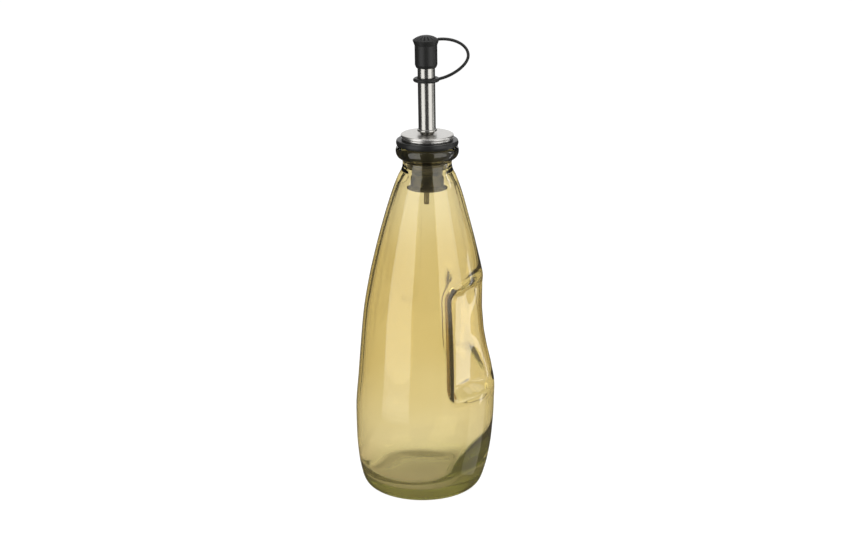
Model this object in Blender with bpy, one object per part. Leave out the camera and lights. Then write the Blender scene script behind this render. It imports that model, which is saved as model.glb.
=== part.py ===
"""Pourer bottle: a tinted glass oil bottle with a pressed grip, closed by a rubber stopper that carries a
steel plate, a steel spout, a thin air tube, and a rubber cap tethered to a ring on the spout.

Frame: metres, +Z up, origin on the table under the middle of the body. The grip faces +X.
The body leans a little, as hand-finished glass does, so the neck stands beside the middle of the base."""

import math

import bmesh
import bpy
from mathutils import Matrix, Vector

# Driving dimensions
BODY_RADIUS = 0.0400
BODY_WIDEST_Z = 0.048
FOOT_RADIUS = 0.0300
PUSH_UP_RADIUS = 0.0240
PUSH_UP_RISE = 0.0018
NECK_RADIUS = 0.0139
NECK_BORE = 0.0116
LIP_RADIUS = 0.0176
LIP_TOP_Z = 0.2017
WALL = 0.0029
FLOOR_Z = 0.0062
GAP = 0.0003
TUBE_RADIUS = 0.0048
PLATE_TOP_Z = 0.2082
CAP_TOP_Z = 0.2630

# The body leans: how far its middle stands from the origin along X, by height
LEAN = [(0.0, -0.0015), (0.045, 0.0), (0.090, 0.0007), (0.140, 0.0008), (0.190, 0.0013)]
NECK_X = 0.0013
# The spout and its cap lean the other way, and the air tube hangs a little askew in its hole
SPOUT_LEAN = math.radians(-0.85)
SPOUT_PIVOT_Z = 0.2075
AIR_TUBE_LEAN = math.radians(1.4)
AIR_TUBE_PIVOT_Z = 0.1865

# Roundness of the faceted solids
ROUND_STEPS = 32
SMALL_STEPS = 24
AIR_TUBE_STEPS = 16


def smoothstep(t):
    t = min(max(t, 0.0), 1.0)
    return t * t * (3.0 - 2.0 * t)


def clear_scene():
    for obj in list(bpy.data.objects):
        bpy.data.objects.remove(obj, do_unlink=True)


def material(name, colour, roughness, metallic=0.0, transmission=0.0):
    made = bpy.data.materials.new(name)
    made.use_nodes = True
    shader = made.node_tree.nodes["Principled BSDF"]
    shader.inputs["Base Color"].default_value = (*colour, 1.0)
    shader.inputs["Roughness"].default_value = roughness
    shader.inputs["Metallic"].default_value = metallic
    shader.inputs["Transmission Weight"].default_value = transmission
    return made


def follow(points, z):
    """Value at a height on a smooth curve through (height, value) points (monotone cubic)."""
    if z <= points[0][0]:
        return points[0][1]
    if z >= points[-1][0]:
        return points[-1][1]
    slopes = [(b[1] - a[1]) / (b[0] - a[0]) for a, b in zip(points, points[1:])]
    i = next(k for k in range(len(slopes)) if z <= points[k + 1][0])

    def tangent(k):
        if k == 0 or k == len(slopes):
            return slopes[min(k, len(slopes) - 1)]
        before, after = slopes[k - 1], slopes[k]
        return 0.0 if before * after <= 0 else 2.0 * before * after / (before + after)

    (z0, r0), (z1, r1) = points[i], points[i + 1]
    span = z1 - z0
    t = (z - z0) / span
    return ((2 * t**3 - 3 * t**2 + 1) * r0 + (t**3 - 2 * t**2 + t) * span * tangent(i)
            + (3 * t**2 - 2 * t**3) * r1 + (t**3 - t**2) * span * tangent(i + 1))


def tilted(bm, pivot_z, angle):
    """The same body turned about an axis along Y at a height; a positive angle moves its top towards +X."""
    bmesh.ops.rotate(bm, verts=bm.verts[:], cent=(0.0, 0.0, pivot_z), matrix=Matrix.Rotation(angle, 3, "Y"))
    return bm


def object_from(name, bm, finish, location=(0.0, 0.0, 0.0), sharp_deg=32.0):
    mesh = bpy.data.meshes.new(name)
    bm.to_mesh(mesh)
    bm.free()
    mesh.materials.append(finish)
    mesh.shade_smooth()
    mesh.set_sharp_from_angle(angle=math.radians(sharp_deg))
    obj = bpy.data.objects.new(name, mesh)
    obj.location = location
    bpy.context.scene.collection.objects.link(obj)
    return obj


def arc(centre_r, centre_z, radius, start_deg, end_deg, steps):
    """Profile points (r, z) on an arc; 0 degrees points away from the axis and 90 degrees up."""
    points = []
    for i in range(steps + 1):
        angle = math.radians(start_deg + (end_deg - start_deg) * i / steps)
        points.append((centre_r + radius * math.cos(angle), centre_z + radius * math.sin(angle)))
    return points


def turned(profile, steps):
    """A closed body of revolution from a closed (r, z) outline, spun about Z."""
    bm = bmesh.new()
    verts = [bm.verts.new((r, 0.0, z)) for r, z in profile]
    edges = [bm.edges.new((verts[i], verts[(i + 1) % len(verts)])) for i in range(len(verts))]
    on_axis = [e for e in edges if all(v.co.x < 1e-7 for v in e.verts)]
    edges = [e for e in edges if e not in on_axis]
    bmesh.ops.delete(bm, geom=on_axis, context="EDGES_FACES")
    bmesh.ops.spin(bm, geom=verts + edges, axis=(0, 0, 1), cent=(0, 0, 0), angle=math.tau,
                   steps=steps, use_merge=True, use_duplicate=False)
    bmesh.ops.remove_doubles(bm, verts=bm.verts[:], dist=1e-6)
    bmesh.ops.recalc_face_normals(bm, faces=bm.faces[:])
    return bm


# The glass bottle: outline of the body from the foot to the shoulder, as (height, radius)
BODY_OUTLINE = [
    (0.0000, FOOT_RADIUS),
    (0.0012, 0.0326),
    (0.0035, 0.0344),
    (0.0080, 0.0359),
    (0.0160, 0.0377),
    (0.0300, 0.0393),
    (BODY_WIDEST_Z, BODY_RADIUS),
    (0.0660, 0.0389),
    (0.0840, 0.0377),
    (0.1050, 0.0358),
    (0.1250, 0.0325),
    (0.1450, 0.0280),
    (0.1600, 0.0241),
    (0.1750, 0.0197),
    (0.1845, 0.0162),
    (0.1890, 0.0142),
    (0.1938, NECK_RADIUS),
]
LIP_OUTLINE = [
    (0.0150, 0.1943),
    (0.0166, 0.1957),
    (LIP_RADIUS - 0.0002, 0.1973),
    (LIP_RADIUS, 0.1988),
    (LIP_RADIUS - 0.0002, 0.2001),
    (LIP_RADIUS - 0.0008, 0.2011),
    (0.0157, LIP_TOP_Z - 0.0001),
    (0.0148, LIP_TOP_Z),
    (NECK_BORE + 0.0008, LIP_TOP_Z),
    (NECK_BORE + 0.0002, LIP_TOP_Z - 0.0002),
    (NECK_BORE, LIP_TOP_Z - 0.0008),
    (NECK_BORE, 0.1868),
]
FLOOR_OUTLINE = [(0.0328, 0.0125), (0.0306, 0.0088), (0.0278, 0.0068), (0.0200, FLOOR_Z), (0.0100, FLOOR_Z)]

# The grip: a recess pressed into the glass round the +X side, with a steep edge in front and behind. Its
# floor is two flat cheeks that meet in a rounded spine at +X.
GRIP_HALF_ANGLE = math.radians(71.0)
GRIP_ARC_RADIUS = 0.036
GRIP_BOTTOM_Z = 0.0615
GRIP_TOP_Z = 0.1255
GRIP_TOP_RISE = 0.0045
GRIP_CORNER = 0.0065
GRIP_EDGE = 0.0025
GRIP_LEDGE = 0.0065
CHEEK_ANGLE = math.radians(41.0)
CHEEK_REACH = 0.77
CHEEK_BLEND = 9.0
SPINE_ANGLE = math.radians(36.0)
SPINE_INSET = [(0.0635, 0.0), (0.0715, 0.16), (0.0760, 0.36), (0.0850, 0.75), (0.0960, 1.0), (0.1050, 1.0),
               (0.1135, 0.76), (0.1200, 0.45), (0.1250, 0.22), (0.1340, 0.0)]
# The glass stands a little proud under the grip
PROUD = 0.0006
PROUD_Z = 0.061
PROUD_REACH_Z = 0.011
PROUD_ANGLE = math.radians(60.0)


def body_radius(z):
    """Radius of the plain body."""
    return follow(BODY_OUTLINE, z)


def top_rise(angle):
    """How much higher the grip's top edge is at an angle than at its front and back corners."""
    return GRIP_TOP_RISE * max(1.0 - (angle / GRIP_HALF_ANGLE) ** 2, 0.0)


def grip_share(angle, z, grow):
    """1 on the floor of the grip and 0 outside it. grow widens the recess, for the inside of the wall."""
    top = GRIP_TOP_Z + top_rise(angle) + grow
    side = GRIP_ARC_RADIUS * GRIP_HALF_ANGLE + grow
    corner = GRIP_CORNER + grow
    along = GRIP_ARC_RADIUS * abs(angle)
    past_side, past_top = along - (side - corner), z - (top - corner)
    if past_side > 0 and past_top > 0:
        inside = corner - math.hypot(past_side, past_top)
    else:
        inside = min(side - along, top - z)
    ledge = (z - (GRIP_BOTTOM_Z - grow)) / GRIP_LEDGE
    return smoothstep(inside / GRIP_EDGE) * smoothstep(ledge)


def grip_depth(angle, z):
    """Depth of the grip's floor below the plain body: deep on the cheeks, shallow along the spine."""
    share = 1.0
    for side in (-1.0, 1.0):
        facing = math.cos(angle - side * CHEEK_ANGLE)
        if facing > 0.05:
            share += (CHEEK_REACH / facing) ** -CHEEK_BLEND
    depth = body_radius(z) * (1.0 - share ** (-1.0 / CHEEK_BLEND))
    spine = follow(SPINE_INSET, z)
    return depth * (spine + (1.0 - spine) * smoothstep(abs(angle) / SPINE_ANGLE))


def glass_radius(angle, z, inset):
    """Radius of the pressed glass wall; inset is 0 outside and the wall's thickness inside."""
    proud = PROUD * smoothstep(1.0 - abs(z - PROUD_Z) / PROUD_REACH_Z)
    proud *= smoothstep(1.0 - abs(angle) / PROUD_ANGLE)
    return body_radius(z) + proud - grip_share(angle, z, inset) * grip_depth(angle, z) - inset


def lean(z):
    """How far the body's middle stands from the origin along X, at a height."""
    return follow(LEAN, z)


def column_angles():
    """Angles of the body's columns, closer together at the grip's steep edges."""
    edge_width = GRIP_EDGE / GRIP_ARC_RADIUS
    near, far = GRIP_HALF_ANGLE - 1.15 * edge_width, GRIP_HALF_ANGLE + 1.25 * edge_width
    stretches = [(0.0, near, 11), (near, far, 5), (far, math.pi, 12)]
    half = [start + (end - start) * i / count for start, end, count in stretches for i in range(count)]
    return half + [math.pi] + [-a for a in reversed(half[1:])]


def body_heights(grow, below, above):
    """Heights of the body's rows: those below and above the grip, and closer rows at its edges."""
    ledge = [GRIP_BOTTOM_Z - grow + GRIP_LEDGE * share for share in (-0.05, 0.3, 0.65, 1.0)]
    edge = [GRIP_TOP_Z + grow - GRIP_EDGE * share for share in (1.1, 0.7, 0.3, -0.1)]
    floor = [ledge[-1] + (edge[0] - ledge[-1]) * share for share in (0.16, 0.36, 0.56, 0.75, 0.9)]
    return below + ledge + floor + edge + above


def along_edge(angle, z, grow):
    """Height of a row at an angle: rows near the grip's top edge rise with it."""
    up = smoothstep((z - (GRIP_TOP_Z + grow - 0.030)) / 0.022)
    down = smoothstep((z - (GRIP_TOP_Z + grow)) / 0.026)
    return z + top_rise(angle) * up * (1.0 - down)


def glass_rings():
    """Every ring of the bottle from the middle of its underside, up outside, over the lip and down inside."""
    angles = column_angles()
    rings = []

    def plain(r, z):
        rings.append([(r, angle, z) for angle in angles])

    def body(row_z, inset):
        ring = []
        for angle in angles:
            z = along_edge(angle, row_z, inset)
            ring.append((glass_radius(angle, z, inset), angle, z))
        rings.append(ring)

    for share in (0.4, 0.75, 1.0):
        plain(PUSH_UP_RADIUS * share, PUSH_UP_RISE * (1.0 - share**2))
    outside = body_heights(0.0, [0.0, 0.0012, 0.0035, 0.008, 0.016, 0.030, 0.043, 0.054],
                           [0.132, 0.142, 0.153, 0.166, 0.177, 0.1845, 0.189, 0.1938])
    for z in outside:
        body(z, 0.0)
    for r, z in LIP_OUTLINE:
        plain(r, z)
    inside = body_heights(WALL, [0.0185, 0.030, 0.042, 0.052], [0.136, 0.147, 0.160, 0.173, 0.1835])
    for z in reversed(inside):
        body(z, WALL)
    for r, z in FLOOR_OUTLINE:
        plain(r, z)
    return rings


def build_glass(finish):
    bm = bmesh.new()
    rows = []
    for ring in glass_rings():
        rows.append([bm.verts.new((lean(z) + r * math.cos(a), r * math.sin(a), z)) for r, a, z in ring])
    count = len(rows[0])
    for lower, upper in zip(rows, rows[1:]):
        for i in range(count):
            j = (i + 1) % count
            bm.faces.new((lower[i], lower[j], upper[j], upper[i]))
    for row, z in ((rows[0], PUSH_UP_RISE), (rows[-1], FLOOR_Z)):
        pole = bm.verts.new((lean(z), 0.0, z))
        for i in range(count):
            bm.faces.new((row[i], row[(i + 1) % count], pole))
    bmesh.ops.recalc_face_normals(bm, faces=bm.faces[:])
    return object_from("glass_bottle", bm, finish)


# The rubber stopper: a flange on the lip and a ribbed plug in the neck, one moulding
FLANGE_RADIUS = 0.0174
FLANGE_TOP_Z = 0.20505
PLUG_CORE = 0.0093
PLUG_RIB = NECK_BORE - GAP
PLUG_RIB_HEIGHTS = (0.1894, 0.1958)
PLUG_BOTTOM_Z = 0.1770
TAIL_SEAT_Z = 0.1957
AIR_TUBE_RADIUS = 0.0015
SPOUT_TAIL_RADIUS = 0.0029


def build_stopper(finish):
    flange_bottom = LIP_TOP_Z + GAP
    half = (FLANGE_TOP_Z - flange_bottom) / 2
    bore, seat = AIR_TUBE_RADIUS + GAP, SPOUT_TAIL_RADIUS + GAP
    profile = [(bore, PLUG_BOTTOM_Z), (PLUG_RIB - 0.0004, PLUG_BOTTOM_Z), (PLUG_RIB, PLUG_BOTTOM_Z + 0.0004),
               (PLUG_RIB - 0.0002, PLUG_BOTTOM_Z + 0.0012), (PLUG_CORE, PLUG_BOTTOM_Z + 0.0020)]
    for rib_z in PLUG_RIB_HEIGHTS:
        profile += [(PLUG_CORE, rib_z - 0.0002), (PLUG_RIB, rib_z + 0.0010), (PLUG_RIB, rib_z + 0.0024),
                    (PLUG_CORE, rib_z + 0.0030)]
    profile += [(PLUG_CORE, flange_bottom - 0.0006), (PLUG_CORE + 0.0006, flange_bottom)]
    profile += arc(FLANGE_RADIUS - half, flange_bottom + half, half, -90.0, 90.0, 6)
    profile += [(seat, FLANGE_TOP_Z), (seat, TAIL_SEAT_Z), (bore, TAIL_SEAT_Z)]
    return object_from("rubber_stopper", turned(profile, ROUND_STEPS), finish, (NECK_X, 0.0, 0.0))


# The steel plate on the flange: two tiers, dished in the middle where the spout goes through
PLATE_RADIUS = 0.0147
PLATE_TIER_RADIUS = 0.0145
PLATE_TIER_Z = 0.2070
PLATE_EDGE_ROUND = 0.0004
DISH_RADIUS = 0.0056
DISH_DEPTH = 0.0013


def build_plate(finish):
    bottom = FLANGE_TOP_Z + GAP
    hole = SPOUT_TAIL_RADIUS + GAP
    profile = [(hole, bottom), (PLATE_TIER_RADIUS, bottom), (PLATE_TIER_RADIUS, PLATE_TIER_Z - 0.0007),
               (PLATE_TIER_RADIUS - 0.0003, PLATE_TIER_Z - 0.0005),
               (PLATE_TIER_RADIUS, PLATE_TIER_Z - 0.0003), (PLATE_TIER_RADIUS, PLATE_TIER_Z),
               (PLATE_RADIUS, PLATE_TIER_Z)]
    edge = PLATE_EDGE_ROUND
    profile += arc(PLATE_RADIUS - edge, PLATE_TOP_Z - edge, edge, 0.0, 90.0, 3)
    profile += [(DISH_RADIUS, PLATE_TOP_Z), (DISH_RADIUS - 0.0008, PLATE_TOP_Z - 0.0004),
                (hole + 0.0004, PLATE_TOP_Z - DISH_DEPTH + 0.0001), (hole, PLATE_TOP_Z - DISH_DEPTH)]
    return object_from("steel_plate", turned(profile, ROUND_STEPS), finish, (NECK_X, 0.0, 0.0))


# The steel spout: a tail in the plug, a cone that opens to a bead, and the straight tube
SPOUT_WALL = 0.0005
SPOUT_TAIL_Z = TAIL_SEAT_Z + GAP
SPOUT_TIP_Z = 0.2560
BEAD_Z = 0.2103
BEAD_RADIUS = 0.0055
BEAD_ROUND = 0.0006
CONE_TOP_RADIUS = 0.0043


def build_spout(finish):
    cone_bottom = PLATE_TOP_Z - DISH_DEPTH
    tube_inside = TUBE_RADIUS - SPOUT_WALL
    tail_inside = SPOUT_TAIL_RADIUS - SPOUT_WALL
    profile = [(SPOUT_TAIL_RADIUS, SPOUT_TAIL_Z), (SPOUT_TAIL_RADIUS, cone_bottom),
               (CONE_TOP_RADIUS - 0.0004, BEAD_Z - 0.0014), (CONE_TOP_RADIUS, BEAD_Z - 0.0007)]
    profile += arc(BEAD_RADIUS - BEAD_ROUND, BEAD_Z, BEAD_ROUND, -80.0, 80.0, 4)
    profile += [(TUBE_RADIUS, BEAD_Z + 0.0008), (TUBE_RADIUS, SPOUT_TIP_Z - 0.0002),
                (TUBE_RADIUS - 0.0002, SPOUT_TIP_Z), (tube_inside, SPOUT_TIP_Z),
                (tube_inside, BEAD_Z + 0.0010), (tail_inside, cone_bottom + 0.0004),
                (tail_inside, SPOUT_TAIL_Z)]
    tube = tilted(turned(profile, SMALL_STEPS), SPOUT_PIVOT_Z, SPOUT_LEAN)
    return object_from("steel_spout", tube, finish, (NECK_X, 0.0, 0.0))


# The air tube: it lets air in past the plug while the bottle pours
AIR_TUBE_BOTTOM_Z = 0.1677
AIR_TUBE_TOP_Z = 0.2120
AIR_TUBE_BORE = 0.0010


def build_air_tube(finish):
    profile = [(AIR_TUBE_BORE, AIR_TUBE_BOTTOM_Z), (AIR_TUBE_RADIUS, AIR_TUBE_BOTTOM_Z),
               (AIR_TUBE_RADIUS, AIR_TUBE_TOP_Z), (AIR_TUBE_BORE, AIR_TUBE_TOP_Z)]
    tube = tilted(turned(profile, AIR_TUBE_STEPS), AIR_TUBE_PIVOT_Z, AIR_TUBE_LEAN)
    return object_from("air_tube", tube, finish, (NECK_X, 0.0, 0.0))


# The rubber cap, its strap and its ring, one moulding
CAP_RADIUS = 0.00620
CAP_HEAD_RADIUS = 0.0073
CAP_BOTTOM_Z = 0.2452
CAP_SKIRT_TOP_Z = 0.2572
CAP_HEAD_Z = 0.2604
CAP_FLUTES = 14
CAP_FLUTE_DEPTH = 0.00035
CAP_COLUMNS = 2 * CAP_FLUTES
RING_Z = 0.2385
RING_SECTION = 0.00125
STRAP_THICKNESS = 0.0016
STRAP_WIDTH = 0.0026
STRAP_REACH = 0.0231
STRAP_MIDDLE_Z = 0.2512


def cap_body():
    """The cap alone: skirt, flared head and a fluted dome, hollow below to take the spout's tip."""
    bore = TUBE_RADIUS + GAP
    dome_rise = CAP_TOP_Z - CAP_HEAD_Z
    dome_radius = (CAP_HEAD_RADIUS**2 + dome_rise**2) / (2 * dome_rise)
    rim_deg = math.degrees(math.acos(CAP_HEAD_RADIUS / dome_radius))
    profile = [(0.0, SPOUT_TIP_Z + GAP), (bore, SPOUT_TIP_Z + GAP), (bore, CAP_BOTTOM_Z),
               (bore + 0.0006, CAP_BOTTOM_Z), (CAP_RADIUS, CAP_BOTTOM_Z + 0.0017),
               (CAP_RADIUS, CAP_SKIRT_TOP_Z), (CAP_RADIUS + 0.0003, CAP_SKIRT_TOP_Z + 0.0009),
               (CAP_HEAD_RADIUS, CAP_HEAD_Z - 0.0004)]
    profile += arc(0.0, CAP_TOP_Z - dome_radius, dome_radius, rim_deg, 90.0, 5)
    bm = turned(profile, CAP_COLUMNS)
    for vert in bm.verts:
        r = math.hypot(vert.co.x, vert.co.y)
        if vert.co.z > CAP_HEAD_Z - 0.0001 and r > 0.0005:
            column = round(math.atan2(vert.co.y, vert.co.x) / (math.tau / CAP_COLUMNS))
            if column % 2:
                vert.co.z -= CAP_FLUTE_DEPTH * r / CAP_HEAD_RADIUS
    return bm


def ring_body():
    """The ring round the spout."""
    major = TUBE_RADIUS + GAP + RING_SECTION
    return turned(arc(major, RING_Z, RING_SECTION, 0.0, 330.0, 11), SMALL_STEPS)


def strap_curve():
    """The strap's centreline in the plane of X and Z: out from the cap's head and round to the ring."""
    curve = bpy.data.curves.new("strap", "CURVE")
    curve.dimensions = "3D"
    curve.bevel_depth = STRAP_THICKNESS / 2
    curve.bevel_resolution = 2
    curve.resolution_u = 12
    curve.use_fill_caps = True
    line = curve.splines.new("BEZIER")
    line.bezier_points.add(2)
    # point, handle before, handle after, as (x from the spout's axis, height)
    knots = (((0.0066, 0.26055), (0.0040, 0.2604), (0.0150, 0.2613)),
             ((STRAP_REACH, STRAP_MIDDLE_Z), (0.0231, 0.2573), (0.0231, 0.2462)),
             ((0.0062, 0.23855), (0.0146, 0.2399), (0.0040, 0.2381)))
    for point, (at, before, after) in zip(line.bezier_points, knots):
        point.handle_left_type = point.handle_right_type = "FREE"
        point.co = Vector((at[0], 0.0, at[1]))
        point.handle_left = Vector((before[0], 0.0, before[1]))
        point.handle_right = Vector((after[0], 0.0, after[1]))
    return curve


def strap_body():
    """The strap as a mesh, flattened so that it is wider than it is thick."""
    guide = bpy.data.objects.new("strap_guide", strap_curve())
    bpy.context.scene.collection.objects.link(guide)
    graph = bpy.context.evaluated_depsgraph_get()
    mesh = bpy.data.meshes.new_from_object(guide.evaluated_get(graph))
    bm = bmesh.new()
    bm.from_mesh(mesh)
    bmesh.ops.remove_doubles(bm, verts=bm.verts[:], dist=1e-6)
    bmesh.ops.scale(bm, vec=(1.0, STRAP_WIDTH / STRAP_THICKNESS, 1.0), verts=bm.verts[:])
    bmesh.ops.recalc_face_normals(bm, faces=bm.faces[:])
    bpy.data.objects.remove(guide, do_unlink=True)
    bpy.data.meshes.remove(mesh)
    return bm


def build_cap(finish):
    cap = object_from("rubber_cap", tilted(cap_body(), SPOUT_PIVOT_Z, SPOUT_LEAN), finish, (NECK_X, 0.0, 0.0))
    joined = bpy.data.collections.new("cap_pieces")
    for name, bm in (("strap_piece", strap_body()), ("ring_piece", ring_body())):
        piece = object_from(name, tilted(bm, SPOUT_PIVOT_Z, SPOUT_LEAN), finish, (NECK_X, 0.0, 0.0))
        bpy.context.scene.collection.objects.unlink(piece)
        joined.objects.link(piece)
    bpy.context.scene.collection.children.link(joined)
    union = cap.modifiers.new("join", "BOOLEAN")
    union.operation = "UNION"
    union.solver = "EXACT"
    union.operand_type = "COLLECTION"
    union.collection = joined
    bpy.context.view_layer.update()
    graph = bpy.context.evaluated_depsgraph_get()
    whole = bpy.data.meshes.new_from_object(cap.evaluated_get(graph))
    cap.modifiers.clear()
    cap.data = whole
    for piece in list(joined.objects):
        bpy.data.objects.remove(piece, do_unlink=True)
    bpy.data.collections.remove(joined)
    return cap


def main():
    clear_scene()
    glass = material("tinted_glass", (0.80, 0.64, 0.27), 0.04, transmission=0.9)
    rubber = material("black_rubber", (0.016, 0.016, 0.016), 0.42)
    steel = material("brushed_steel", (0.62, 0.61, 0.59), 0.22, metallic=1.0)
    moulded = material("cap_rubber", (0.014, 0.014, 0.014), 0.50)
    build_glass(glass)
    build_stopper(rubber)
    build_plate(steel)
    build_spout(steel)
    build_air_tube(steel)
    build_cap(moulded)


main()
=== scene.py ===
# Oil pourer bottle: tinted glass with a pressed grip, and a rubber and steel pourer on top.
# Everything is in metres; mm() takes sizes in millimetres.
import math

import bmesh
import bpy
from mathutils import Matrix, Vector, noise


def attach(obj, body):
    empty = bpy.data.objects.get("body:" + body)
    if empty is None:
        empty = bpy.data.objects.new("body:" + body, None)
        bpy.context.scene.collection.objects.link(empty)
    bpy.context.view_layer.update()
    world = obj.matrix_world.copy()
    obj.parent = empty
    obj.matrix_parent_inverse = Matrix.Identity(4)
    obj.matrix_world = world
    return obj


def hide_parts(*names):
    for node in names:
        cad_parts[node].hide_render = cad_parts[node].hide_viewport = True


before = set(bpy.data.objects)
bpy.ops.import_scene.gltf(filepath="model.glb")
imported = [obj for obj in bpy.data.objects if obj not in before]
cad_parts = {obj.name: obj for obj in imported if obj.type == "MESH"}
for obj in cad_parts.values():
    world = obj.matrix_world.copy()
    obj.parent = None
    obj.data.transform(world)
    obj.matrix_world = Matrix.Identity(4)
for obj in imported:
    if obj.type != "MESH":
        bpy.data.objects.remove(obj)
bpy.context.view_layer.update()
print("frame loaded:", sorted(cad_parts))


def mm(*sizes):
    scaled = [size * 0.001 for size in sizes]
    return scaled[0] if len(scaled) == 1 else tuple(scaled)


# Colour and nodes
def fromHex(code, alpha=1.0):
    channels = [int(code[i:i + 2], 16) / 255 for i in (1, 3, 5)]
    linear = [c / 12.92 if c <= 0.04045 else ((c + 0.055) / 1.055) ** 2.4 for c in channels]
    return (*linear, alpha)


def addNode(tree, kind, inputs=None, **settings):
    node = tree.nodes.new(kind)
    for name, value in settings.items():
        setattr(node, name, value)
    for name, value in (inputs or {}).items():
        if isinstance(value, bpy.types.NodeSocket):
            tree.links.new(value, node.inputs[name])
        else:
            node.inputs[name].default_value = value
    return node


def newMaterial(name, **sockets):
    made = bpy.data.materials.new(name)
    made.use_nodes = True
    shader = made.node_tree.nodes["Principled BSDF"]
    for socket, value in sockets.items():
        shader.inputs[socket.replace("_", " ")].default_value = value
    return made, made.node_tree, shader


# Modelling
def nothingSelected():
    if bpy.context.object and bpy.context.object.mode != "OBJECT":
        bpy.ops.object.mode_set(mode="OBJECT")
    bpy.ops.object.select_all(action="DESELECT")


def only(piece):
    nothingSelected()
    piece.select_set(True)
    bpy.context.view_layer.objects.active = piece


def smoothstep(t):
    t = min(max(t, 0.0), 1.0)
    return t * t * (3.0 - 2.0 * t)


def follow(points, z):
    # a smooth curve through (height, value) points that never overshoots them
    if z <= points[0][0]:
        return points[0][1]
    if z >= points[-1][0]:
        return points[-1][1]
    slopes = [(b[1] - a[1]) / (b[0] - a[0]) for a, b in zip(points, points[1:])]
    i = next(k for k in range(len(slopes)) if z <= points[k + 1][0])

    def tangent(k):
        if k == 0 or k == len(slopes):
            return slopes[min(k, len(slopes) - 1)]
        before, after = slopes[k - 1], slopes[k]
        return 0.0 if before * after <= 0 else 2.0 * before * after / (before + after)

    (z0, r0), (z1, r1) = points[i], points[i + 1]
    span = z1 - z0
    t = (z - z0) / span
    return ((2 * t**3 - 3 * t**2 + 1) * r0 + (t**3 - 2 * t**2 + t) * span * tangent(i)
            + (3 * t**2 - 2 * t**3) * r1 + (t**3 - t**2) * span * tangent(i + 1))


def bend(start, pullA, pullB, end, count):
    # points of a Bezier curve in the (radius, height) plane, without the first
    points = []
    for k in range(1, count + 1):
        t = k / count
        shares = ((1 - t) ** 3, 3 * t * (1 - t) ** 2, 3 * t * t * (1 - t), t**3)
        points.append(tuple(sum(s * p[axis] for s, p in zip(shares, (start, pullA, pullB, end)))
                            for axis in (0, 1)))
    return points


def rounded(corners, segments=5):
    # corners are (radius, height) or (radius, height, rounding), and a rounded one becomes a small arc
    outline = []
    for i, corner in enumerate(corners):
        here = Vector(corner[:2])
        if len(corner) < 3:
            outline.append(tuple(here))
            continue
        toBefore = Vector(corners[i - 1][:2]) - here
        toAfter = Vector(corners[(i + 1) % len(corners)][:2]) - here
        reach = corner[2] / math.tan(toBefore.angle(toAfter) / 2)
        reach = min(reach, 0.49 * toBefore.length, 0.49 * toAfter.length)
        start, end = here + toBefore.normalized() * reach, here + toAfter.normalized() * reach
        outline += [tuple((1 - t) ** 2 * start + 2 * t * (1 - t) * here + t * t * end)
                    for t in (k / segments for k in range(segments + 1))]
    return outline


def turned(name, outline, steps, closed=True):
    # draws the outline point by point in edit mode, then spins it about the vertical
    nothingSelected()
    bpy.ops.mesh.primitive_plane_add(size=0.001, location=(0, 0, 0))
    piece = bpy.context.object
    piece.name = piece.data.name = name
    bpy.ops.object.mode_set(mode="EDIT")
    bpy.ops.mesh.select_all(action="SELECT")
    bpy.ops.mesh.merge(type="CENTER")
    bpy.ops.transform.translate(value=(outline[0][0], 0, outline[0][1]))
    for before, after in zip(outline, outline[1:]):
        step = (after[0] - before[0], 0, after[1] - before[1])
        bpy.ops.mesh.extrude_region_move(TRANSFORM_OT_translate={"value": step})
    if closed:
        bpy.ops.mesh.select_all(action="DESELECT")
        for vert in bmesh.from_edit_mesh(piece.data).verts:
            vert.select = len(vert.link_edges) == 1
        bpy.ops.mesh.edge_face_add()
    bpy.ops.mesh.select_all(action="SELECT")
    bpy.ops.mesh.spin(steps=steps, angle=math.tau, center=(0, 0, 0), axis=(0, 0, 1), use_auto_merge=True)
    bpy.ops.mesh.select_all(action="SELECT")
    bpy.ops.mesh.remove_doubles(threshold=2e-6)
    bpy.ops.mesh.select_all(action="SELECT")
    bpy.ops.mesh.normals_make_consistent(inside=False)
    bpy.ops.object.mode_set(mode="OBJECT")
    return piece


def smoothed(piece, angle=40):
    only(piece)
    bpy.ops.object.shade_smooth_by_angle(angle=math.radians(angle), keep_sharp_edges=True)
    return piece


def dressed(piece, material, node):
    piece.data.materials.clear()
    piece.data.materials.append(material)
    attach(piece, "root")
    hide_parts(node)
    return piece


# The pourer's axis stands beside the body's middle, and its parts lean a little
pourer = {
    "axisX": mm(1.3),
    "spoutLean": math.radians(-0.85),
    "spoutPivotZ": mm(207.5),
    "airTubeLean": math.radians(1.4),
    "airTubePivotZ": mm(186.5),
}


def onPourerAxis(piece, pivotZ=0.0, lean=0.0):
    # tips the mesh about the pivot, then moves it over the pourer's axis
    pivot = Matrix.Translation((0, 0, pivotZ))
    turn = Matrix.Rotation(lean, 4, "Y")
    piece.data.transform(Matrix.Translation((pourer["axisX"], 0, 0)) @ pivot @ turn @ pivot.inverted())
    return piece


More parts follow.
